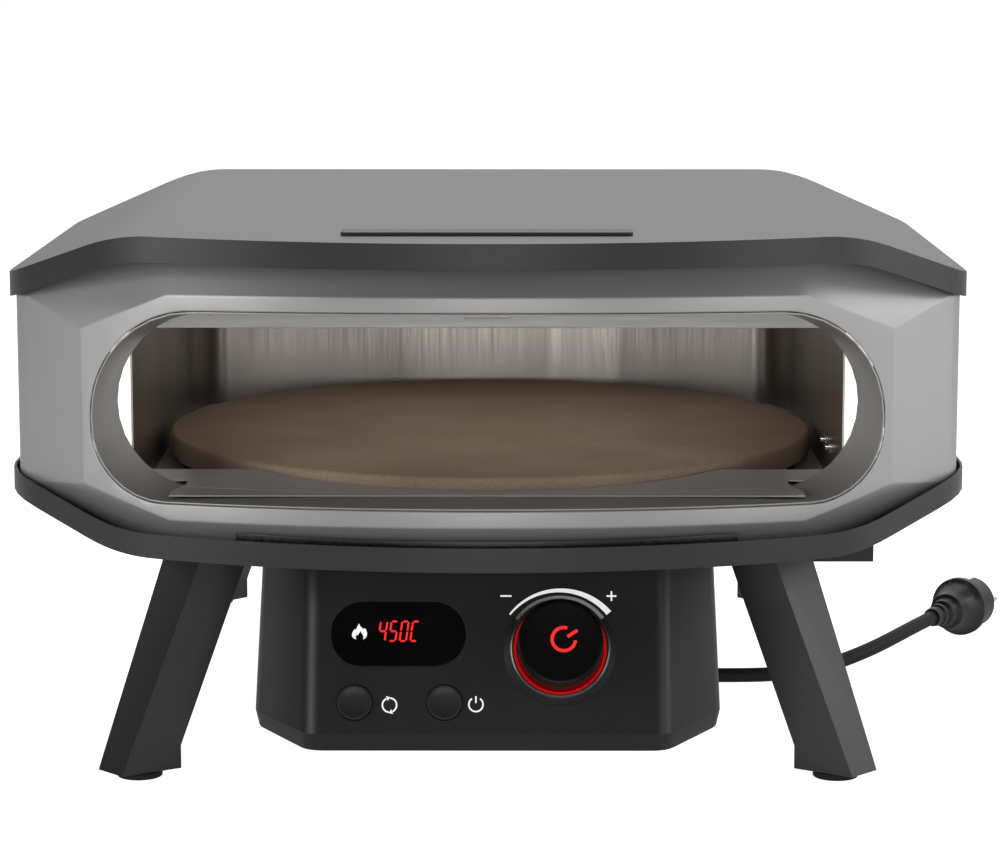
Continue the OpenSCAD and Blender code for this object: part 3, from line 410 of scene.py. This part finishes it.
# outer panels, front and chamber
fasciaSettings = {"edge": (1.0, 7, 2, 60)}
panelSettings = {
    "mouthLiner": ("mouth_liner", (0.35, 50, 2, 40), steelLiner, "stainless"),
    "leftSidePanel": ("left_side_panel", (0.5, 30, 2, 28), silverPaint, "silver_paint"),
    "rightSidePanel": ("right_side_panel", (0.5, 30, 2, 28), silverPaint, "silver_paint"),
    "rearPanel": ("rear_panel", (0.5, 30, 2, 28), silverPaint, "silver_paint"),
    "hearthPlate": ("hearth_plate", (0.2, 30, 2, 30), steelHearth, "stainless"),
    "chamberWalls": ("chamber_walls", (0.3, 30, 2, 30), steelChamber, "stainless"),
    "bafflePlate": ("baffle_plate", (0.3, 30, 2, 30), steelLiner, "stainless"),
    "chamberFloor": ("chamber_floor", (0.4, 30, 2, 30), zincSheet, "galvanised"),
    "sillStrip": ("sill_strip", (0.4, 40, 2, 30), shadedStripSteel, "bright_steel"),
    "roofBar": ("roof_badge", (0.6, 30, 3, 30), partPlastic, "part_black"),
}
fitted(refined("front_fascia", "frontFascia", fasciaSettings["edge"], split=True),
       silverPaint, "oven", "silver_paint", "front_fascia")
dressed(panelSettings)
print("front made")


# the stone, in mm
stoneSettings = {"radius": 215, "low": 173, "high": 188, "topBevel": 3.2, "lowBevel": 2, "sides": 192}


def makeStone():
    s = stoneSettings
    bpy.ops.object.select_all(action="DESELECT")
    bpy.ops.mesh.primitive_cylinder_add(
        vertices=s["sides"], radius=s["radius"] * mm, depth=(s["high"] - s["low"]) * mm,
        location=(0, stoneY, (s["high"] + s["low"]) / 2 * mm))
    obj = named("pizzaStone")
    settled(obj)
    editEdges(obj, lambda mid, way: mid.z > (s["high"] - 1) * mm and abs(way.z) < 0.1)
    bpy.ops.mesh.bevel(offset=s["topBevel"] * mm, segments=4, affect="EDGES")
    leaveEdit()
    editEdges(obj, lambda mid, way: mid.z < (s["low"] + 0.5) * mm and abs(way.z) < 0.1)
    bpy.ops.mesh.bevel(offset=s["lowBevel"] * mm, segments=2, affect="EDGES")
    leaveEdit()
    smoothed(obj, 40)
    return obj


fitted(makeStone(), stoneFired, "turntable", "baking_stone", "stone")
print("stone made")


# the control box; its sloping panel leans back, and places on it are counted in mm from its foot
slopeSettings = {"tilt": 22, "y": -258, "z": 38}
slopeMatrix = (Matrix.Translation((0, slopeSettings["y"] * mm + stoneY, slopeSettings["z"] * mm))
               @ Matrix.Rotation(math.radians(90 - slopeSettings["tilt"]), 4, "X"))


def ontoPanel(obj, x=0, s=0, height=0, spin=0):
    # a piece modelled at the origin, its face to +Z, goes x across and s up the sloping panel
    shift = Matrix.Translation((x * mm, s * mm, height * mm))
    turn = Matrix.Rotation(math.radians(spin), 4, "Z")
    obj.matrix_world = slopeMatrix @ shift @ turn @ obj.matrix_world
    settled(obj)
    return obj


boxSettings = {
    "controlHousing": ("control_housing", (1.8, 24, 3, 26), blackPlastic, "black_plastic"),
    "controlBackCover": ("control_back_cover", (0.4, 30, 2, 32), blackPlastic, "black_plastic"),
    "displayWindow": ("display_window", (0.35, 40, 2, 32), glossPlastic, "gloss_black"),
    "knobCollar": ("knob_collar", (0.3, 30, 3, 40), collarPlastic, "gloss_black"),
    "knobLightRing": ("knob_light_ring", (0.2, 40, 2, 40), redDiffuser, "red_diffuser"),
}
dressed(boxSettings)


def turned(name, profile, steps):
    # spins a line of (radius, height) points in mm into a closed round piece standing on the origin
    bpy.ops.object.select_all(action="DESELECT")
    bpy.ops.mesh.primitive_plane_add(size=2)
    obj = named(name)
    editAll(obj)
    bpy.ops.mesh.delete(type="VERT")
    leaveEdit()
    mesh = obj.data
    mesh.vertices.add(len(profile))
    for vert, (r, z) in zip(mesh.vertices, profile):
        vert.co = (r * mm, 0, z * mm)
    mesh.edges.add(len(profile) - 1)
    for i, edge in enumerate(mesh.edges):
        edge.vertices = (i, i + 1)
    mesh.update()
    editAll(obj)
    bpy.ops.mesh.spin(steps=steps, angle=math.tau, center=(0, 0, 0), axis=(0, 0, 1))
    bpy.ops.mesh.select_all(action="SELECT")
    bpy.ops.mesh.remove_doubles(threshold=0.000005)
    bpy.ops.mesh.normals_make_consistent(inside=False)
    leaveEdit()
    smoothed(obj, 35)
    return obj


knobSettings = {
    "at": (44.2, 51.1), "radius": 25.8, "height": 36, "low": 3, "inside": 23, "ceiling": 31,
    "hub": 8, "hubLow": 2, "bore": 3.05, "boreTop": 24, "steps": 96,
}


def makeKnob():
    k = knobSettings
    r, h, low, inside = k["radius"], k["height"], k["low"], k["inside"]
    cap = [(0, h - 0.35), (r - 4.5, h - 0.35), (r - 2.8, h - 0.1), (r - 1.4, h - 0.1), (r - 0.5, h - 0.5),
           (r, h - 1.4)]
    skirt = [(r + 0.05, h - 6), (r + 0.15, 8), (r + 0.15, low + 0.3), (r - 0.2, low),
             (inside + 0.4, low), (inside, low + 0.4)]
    hollow = [(inside, k["ceiling"]), (k["hub"], k["ceiling"]), (k["hub"], k["hubLow"]), (k["bore"], k["hubLow"]),
              (k["bore"], k["boreTop"]), (0, k["boreTop"])]
    return ontoPanel(turned("knob", cap + skirt + hollow, k["steps"]), *k["at"])


fitted(makeKnob(), knobPlastic, "knob_body", "black_plastic", "knob")

buttonSettings = {
    "rotateAt": (-80.2, 19.5), "powerAt": (-25.7, 19.5), "radius": 10.8, "flange": 1.4, "flangeHigh": -2.8,
    "flangeLow": -4.4, "stem": 3, "stemLow": -12.8, "steps": 72,
}


def makeButton(name, at):
    b = buttonSettings
    r, wide, stem = b["radius"], b["radius"] + b["flange"], b["stem"]
    cap = [(0, 1.7), (r * 0.45, 1.78), (r * 0.75, 2.05), (r - 1.3, 2.4), (r - 0.5, 2.3), (r - 0.05, 1.7), (r, 1.2)]
    flange = [(r, b["flangeHigh"]), (wide, b["flangeHigh"]), (wide, b["flangeLow"]), (stem, b["flangeLow"])]
    foot = [(stem, b["stemLow"]), (0, b["stemLow"])]
    return ontoPanel(turned(name, cap + flange + foot, b["steps"]), *at)


fitted(makeButton("rotateButton", buttonSettings["rotateAt"]),
       buttonPlastic, "rotate_button_body", "gloss_black", "rotate_button")
fitted(makeButton("powerButton", buttonSettings["powerAt"]),
       buttonPlastic, "power_button_body", "gloss_black", "power_button")


# printed marks and the lit display

def flatShape(name, outlines, thick=0.12):
    # closed outlines in mm; inner ones cut holes
    curve = bpy.data.curves.new(name, "CURVE")
    curve.dimensions = "2D"
    curve.fill_mode = "BOTH"
    curve.extrude = thick / 2 * mm
    for outline in outlines:
        spline = curve.splines.new("POLY")
        spline.points.add(len(outline) - 1)
        for point, (x, y) in zip(spline.points, outline):
            point.co = (x * mm, y * mm, 0, 1)
        spline.use_cyclic_u = True
    obj = bpy.data.objects.new(name, curve)
    bpy.context.scene.collection.objects.link(obj)
    choose(obj)
    bpy.ops.object.convert(target="MESH")
    return bpy.context.object


def arcBand(radius, start, end, thickStart, thickEnd, steps=36):
    # angles in degrees from +X; the stroke may grow from one end to the other
    outer, inner = [], []
    for i in range(steps + 1):
        t = i / steps
        angle = math.radians(start + (end - start) * t)
        half = (thickStart + (thickEnd - thickStart) * t) / 2
        outer.append(((radius + half) * math.cos(angle), (radius + half) * math.sin(angle)))
        inner.append(((radius - half) * math.cos(angle), (radius - half) * math.sin(angle)))
    return outer + inner[::-1]


def bar(x0, y0, x1, y1, thick):
    length = math.hypot(x1 - x0, y1 - y0)
    dx, dy = (x1 - x0) / length * thick / 2, (y1 - y0) / length * thick / 2
    return [(x0 - dy, y0 + dx), (x1 - dy, y1 + dx), (x1 + dy, y1 - dx), (x0 + dy, y0 - dx)]


def arrowHead(radius, angle, size):
    # points clockwise round the circle, from the given angle
    a = math.radians(angle)
    cx, cy = radius * math.cos(a), radius * math.sin(a)
    tx, ty = math.sin(a), -math.cos(a)
    wx, wy = math.cos(a) * size * 0.75, math.sin(a) * size * 0.75
    return [(cx + tx * size, cy + ty * size), (cx + wx, cy + wy), (cx - wx, cy - wy)]


def powerSign(radius, thick, gap=34, barLow=0.2, barHigh=1.18):
    # an open ring and its bar; gap in degrees to each side of the top, bar ends as shares of the radius
    ring = arcBand(radius, 90 + gap, 450 - gap, thick, thick, 30)
    return [ring, bar(0, radius * barLow, 0, radius * barHigh, thick)]


flameOutline = [
    (-0.4, 5.2), (0.4, 3.6), (1.7, 2.4), (2.5, 1.6), (3.1, 2.4), (4.1, 1.2), (4.6, -0.6), (4.5, -2.2),
    (3.6, -3.8), (2.1, -4.6), (2.5, -3.4), (2.2, -1.9), (1.2, -0.7), (0.6, 0.7), (-0.4, -0.9), (-0.9, -2.1),
    (-1.5, -1.5), (-2.3, -2.5), (-2.3, -3.6), (-1.9, -4.6), (-3.6, -3.9), (-4.6, -2.3), (-4.5, -0.6),
    (-3.6, 0.8), (-2.9, 1.9), (-2.6, 1.1), (-2.0, 1.8), (-1.4, 3.2)]

markSettings = {
    "flame": (-77.6, 62.7), "rotate": (-59, 18), "power": (-6.7, 18.4), "arc": (44.3, 49.8), "minus": (11.4, 85),
    "plus": (75.7, 85), "print": 0.1, "window": 0.28, "ring": 4.3, "stroke": 0.95, "arrow": 2.1,
    "arcRadius": 38.7, "arcLeft": 52.1, "arcRight": 50.3, "arcThin": 1.0, "arcThick": 3.6,
    "minusHalf": 3.4, "plusHalf": 3.0, "barStroke": 1.0,
}
knobMarkSettings = {
    "shift": (1.8, 1.5), "ring": 7.0, "stroke": 1.9, "gap": 40, "barLow": 0.386, "barHigh": 1.386, "sunk": 0.3,
    "spin": -57,
}


def placeMark(obj, at, height, material, slotName, body="oven", spin=0):
    ontoPanel(obj, at[0], at[1], height, spin)
    return fitted(obj, material, body, slotName)


def printMark(obj, key, level="print"):
    placeMark(obj, markSettings[key], markSettings[level], glowingWhitePrint, "gloss_black")


def makeRotateMark():
    ring, stroke, arrow = markSettings["ring"], markSettings["stroke"], markSettings["arrow"]
    return flatShape("rotateMark", [
        arcBand(ring, 265, 115, stroke, stroke), arrowHead(ring, 112, arrow),
        arcBand(ring, 85, -65, stroke, stroke), arrowHead(ring, -68, arrow)])


def makeArcMark():
    m = markSettings
    start, end = 90 + m["arcLeft"], 90 - m["arcRight"]
    return flatShape("arcMark", [arcBand(m["arcRadius"], start, end, m["arcThin"], m["arcThick"])])


def makePlusMark():
    half, stroke = markSettings["plusHalf"], markSettings["barStroke"]
    across = flatShape("plusAcross", [bar(-half, 0, half, 0, stroke)])
    up = flatShape("plusUp", [bar(0, -half, 0, half, stroke)])
    return merged([across, up], "plusMark")


def makeKnobMark():
    k = knobMarkSettings
    return flatShape("knobPowerMark", powerSign(k["ring"], k["stroke"], k["gap"], k["barLow"], k["barHigh"]))


printMark(flatShape("flameMark", [flameOutline]), "flame", "window")
printMark(makeRotateMark(), "rotate")
printMark(flatShape("powerMark", powerSign(markSettings["ring"], markSettings["stroke"])), "power")
printMark(makeArcMark(), "arc")
minusBar = bar(-markSettings["minusHalf"], 0, markSettings["minusHalf"], 0, markSettings["barStroke"])
printMark(flatShape("minusMark", [minusBar]), "minus")
printMark(makePlusMark(), "plus")
knobMarkAt = [a + b for a, b in zip(knobSettings["at"], knobMarkSettings["shift"])]
placeMark(makeKnobMark(), knobMarkAt, knobSettings["height"] - knobMarkSettings["sunk"], redGlow, "red_diffuser",
          "knob_body", knobMarkSettings["spin"])

digitSettings = {
    "text": "450C", "left": -66.2, "step": 6.5, "low": 57.2, "width": 3.9, "height": 12.0, "thick": 1.15,
    "gap": 0.22, "lean": 0.13,
}
segmentsOn = {"4": "fgbc", "5": "afgcd", "0": "abcdef", "C": "afed"}


def makeDigits():
    d = digitSettings
    w, h, gap, t = d["width"], d["height"], d["gap"], d["thick"] / 2
    ends = {"a": ((0, h), (w, h)), "g": ((0, h / 2), (w, h / 2)), "d": ((0, 0), (w, 0)),
            "f": ((0, h / 2), (0, h)), "b": ((w, h / 2), (w, h)),
            "e": ((0, 0), (0, h / 2)), "c": ((w, 0), (w, h / 2))}
    outlines = []
    for place, sign in enumerate(d["text"]):
        for key in segmentsOn[sign]:
            (x0, y0), (x1, y1) = ends[key]
            length = math.hypot(x1 - x0, y1 - y0)
            ux, uy = (x1 - x0) / length, (y1 - y0) / length
            a, b = (x0 + ux * gap, y0 + uy * gap), (x1 - ux * gap, y1 - uy * gap)
            shape = [a, (a[0] + ux * t - uy * t, a[1] + uy * t + ux * t),
                     (b[0] - ux * t - uy * t, b[1] - uy * t + ux * t), b,
                     (b[0] - ux * t + uy * t, b[1] - uy * t - ux * t),
                     (a[0] + ux * t + uy * t, a[1] + uy * t - ux * t)]
            outlines.append([(x + place * d["step"] + y * d["lean"], y) for x, y in shape])
    return flatShape("displayDigits", outlines)


digitsAt = (digitSettings["left"], digitSettings["low"])
placeMark(makeDigits(), digitsAt, markSettings["window"], redGlow, "red_diffuser")
print("control box made")


# legs, feet and small parts
legEdge = (1.2, 24, 3, 26)
smallCorner = (35, 3, 35)
legSettings = {
    "frontLeftLeg": ("front_left_leg", legEdge, charcoalPaint, "charcoal_paint"),
    "frontRightLeg": ("front_right_leg", legEdge, charcoalPaint, "charcoal_paint"),
    "rearLeftLeg": ("rear_left_leg", legEdge, charcoalPaint, "charcoal_paint"),
    "rearRightLeg": ("rear_right_leg", legEdge, charcoalPaint, "charcoal_paint"),
}
smallSettings = {
    "footPads": ("foot_pads", (0.8, *smallCorner), rubberBlack, "soft_rubber"),
    "legScrews": ("leg_screws", (0.5, *smallCorner), screwMetal, "screw_steel"),
    "roofScrews": ("roof_screws", (0.5, *smallCorner), screwMetal, "screw_steel"),
    "panelScrews": ("panel_screws", (0.5, *smallCorner), screwMetal, "screw_steel"),
    "boxScrews": ("box_screws", (0.5, *smallCorner), screwMetal, "screw_steel"),
    "junctionBox": ("junction_box", (1.2, *smallCorner), blackPlastic, "black_plastic"),
    "driveCover": ("drive_cover", (0.6, *smallCorner), charcoalPaint, "charcoal_paint"),
    "cordGland": ("cord_gland", (0.5, *smallCorner), rubberBlack, "soft_rubber"),
    "wireConduits": ("wire_conduits", (0.3, *smallCorner), rubberBlack, "soft_rubber"),
    "plugBody": ("plug_body", (0.7, *smallCorner), blackPlastic, "black_plastic"),
    "plugPins": ("plug_pins", (0.8, *smallCorner), platedMetal, "plated"),
    "plugContacts": ("plug_contacts", (0.25, *smallCorner), platedMetal, "plated"),
    "temperatureProbe": ("temperature_probe", (0.5, *smallCorner), brightSteel, "bright_steel"),
}
dressed(legSettings)
made = dressed(smallSettings)
print("small parts made")


# the solids inside stay as they are and only get their finish
keptFinishes = {
    "chamber_ceiling": steelChamber, "roof_insulation": woolFelt, "base_insulation": woolFelt,
    "upper_heater": heaterSkin, "lower_heater": heaterSkin, "heater_brackets": steelLiner,
    "heater_bushings": porcelainWhite, "stone_carrier": steelLiner, "drive_shaft": brightSteel,
    "shaft_bush": bronzeBush, "drive_gear": nylonGear, "pinion": brightSteel, "gear_motor": zincSheet,
    "motor_bracket": zincSheet, "display_module": partPlastic, "control_board": boardGreen,
    "knob_spindle": brightSteel, "encoder_body": partPlastic, "button_switches": partPlastic,
}
for nodeName, material in keptFinishes.items():
    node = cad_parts[nodeName]
    node.data.materials.clear()
    node.data.materials.append(material)
    smoothed(node, 30)
print("kept solids finished")


# floor, world and lamps; each lamp: x, y, z, size, power, in metres and watts
stageSettings = {
    "floorSize": 24, "floorColor": 0.5, "floorGlow": 0.3, "floorLift": 0.7,
    "worldFront": 0.05, "worldBack": 1.25, "worldUp": (0.4, 1, 0, 0.2), "worldAcross": (0.3, 1, -0.8, -0.1),
    "right": (2.2, -0.3, 0.6, 1.0, 7), "nearRight": (1.9, -1.9, 0.5, 0.9, 9), "left": (-2.0, -1.5, 0.7, 1.2, 20),
    "top": (0.0, 0.3, 2.2, 2.0, 20), "front": (0.0, -2.9, 0.3, 1.0, 11), "lampAim": (0, 0, 0.22),
    "floorRight": (1.7, 0.05, 0.9, 0.9, 9), "floorRightAim": (1.7, 0.05, 0),
    "chamber": (0.0, -0.05, 0.29, 0.36, 0.175), "chamberAim": (0, -0.055, 0.1),
    "vents": (0.196, -0.2, 0.236, 0.05), "ventPowers": {-1: 0.021, 1: 0.011}, "ventAim": (0.25, -0.2, 0.22),
}


def makeFloor():
    bpy.ops.object.select_all(action="DESELECT")
    bpy.ops.mesh.primitive_plane_add(size=stageSettings["floorSize"], location=(0, 0, 0))
    floor = named("floor")
    material, tree, shader = newMaterial("pale floor")
    grain = noise(tree, objectPoints(tree), scale=3, detail=2)
    value = stageSettings["floorColor"]
    shades = ((value,) * 3, (value + 0.02,) * 3)
    tree.links.new(ramp(tree, grain, 0.2, 0.8, shades), shader.inputs["Base Color"])
    shader.inputs["Roughness"].default_value = 0.9
    shader.inputs["Specular IOR Level"].default_value = 0.1
    lightPath = tree.nodes.new("ShaderNodeLightPath")
    lift = tree.nodes.new("ShaderNodeMath")  # the floor glows more where the camera sees it than where it lights
    lift.operation = "MULTIPLY_ADD"
    lift.inputs[1].default_value = stageSettings["floorLift"]
    lift.inputs[2].default_value = stageSettings["floorGlow"]
    tree.links.new(lightPath.outputs["Is Camera Ray"], lift.inputs[0])
    shader.inputs["Emission Color"].default_value = (1, 1, 1, 1)
    tree.links.new(lift.outputs["Value"], shader.inputs["Emission Strength"])
    floor.data.materials.append(material)


makeFloor()


def makeWorld():
    # white behind the oven, dimmer in front, low down and far to the left, and white wherever the camera looks
    world = bpy.data.worlds.new("studio")
    bpy.context.scene.world = world
    world.use_nodes = True
    tree = world.node_tree
    background = tree.nodes["Background"]
    background.inputs["Color"].default_value = (1, 1, 1, 1)
    coords = tree.nodes.new("ShaderNodeTexCoord")
    parts = tree.nodes.new("ShaderNodeSeparateXYZ")
    tree.links.new(coords.outputs["Generated"], parts.inputs["Vector"])
    level = spread(tree, parts.outputs["Y"], stageSettings["worldFront"], stageSettings["worldBack"], 0.1, 0.7)
    for axis, key in (("Z", "worldUp"), ("X", "worldAcross")):
        product = tree.nodes.new("ShaderNodeMath")
        product.operation = "MULTIPLY"
        tree.links.new(level, product.inputs[0])
        tree.links.new(spread(tree, parts.outputs[axis], *stageSettings[key]), product.inputs[1])
        level = product.outputs["Value"]
    path = tree.nodes.new("ShaderNodeLightPath")
    strength = tree.nodes.new("ShaderNodeMath")
    strength.operation = "MAXIMUM"
    tree.links.new(path.outputs["Is Camera Ray"], strength.inputs[0])
    tree.links.new(level, strength.inputs[1])
    tree.links.new(strength.outputs["Value"], background.inputs["Strength"])


makeWorld()


def makeLamp(name, values, target):
    x, y, z, size, power = values
    lamp = bpy.data.lights.new(name, "AREA")
    lamp.shape = "SQUARE"
    lamp.size = size
    lamp.energy = power
    obj = bpy.data.objects.new(name, lamp)
    bpy.context.scene.collection.objects.link(obj)
    obj.location = (x, y, z)
    aim = Vector(target) - Vector((x, y, z))
    obj.rotation_euler = aim.to_track_quat("-Z", "Y").to_euler()
    return obj


for lampName in ("right", "nearRight", "left", "top", "front"):
    makeLamp(lampName + "Lamp", stageSettings[lampName], stageSettings["lampAim"])
makeLamp("floorLamp", stageSettings["floorRight"], stageSettings["floorRightAim"])
insideLamps = [makeLamp("chamberLamp", stageSettings["chamber"], stageSettings["chamberAim"])]
for side, power in stageSettings["ventPowers"].items():  # the light that the side vents let in
    x, *rest = stageSettings["vents"]
    aimX, *aimRest = stageSettings["ventAim"]
    insideLamps.append(makeLamp("ventLamp", (side * x, *rest, power), (side * aimX, *aimRest)))
for lamp in insideLamps:
    lamp.visible_camera = False
    lamp.visible_glossy = False
print("stage made")
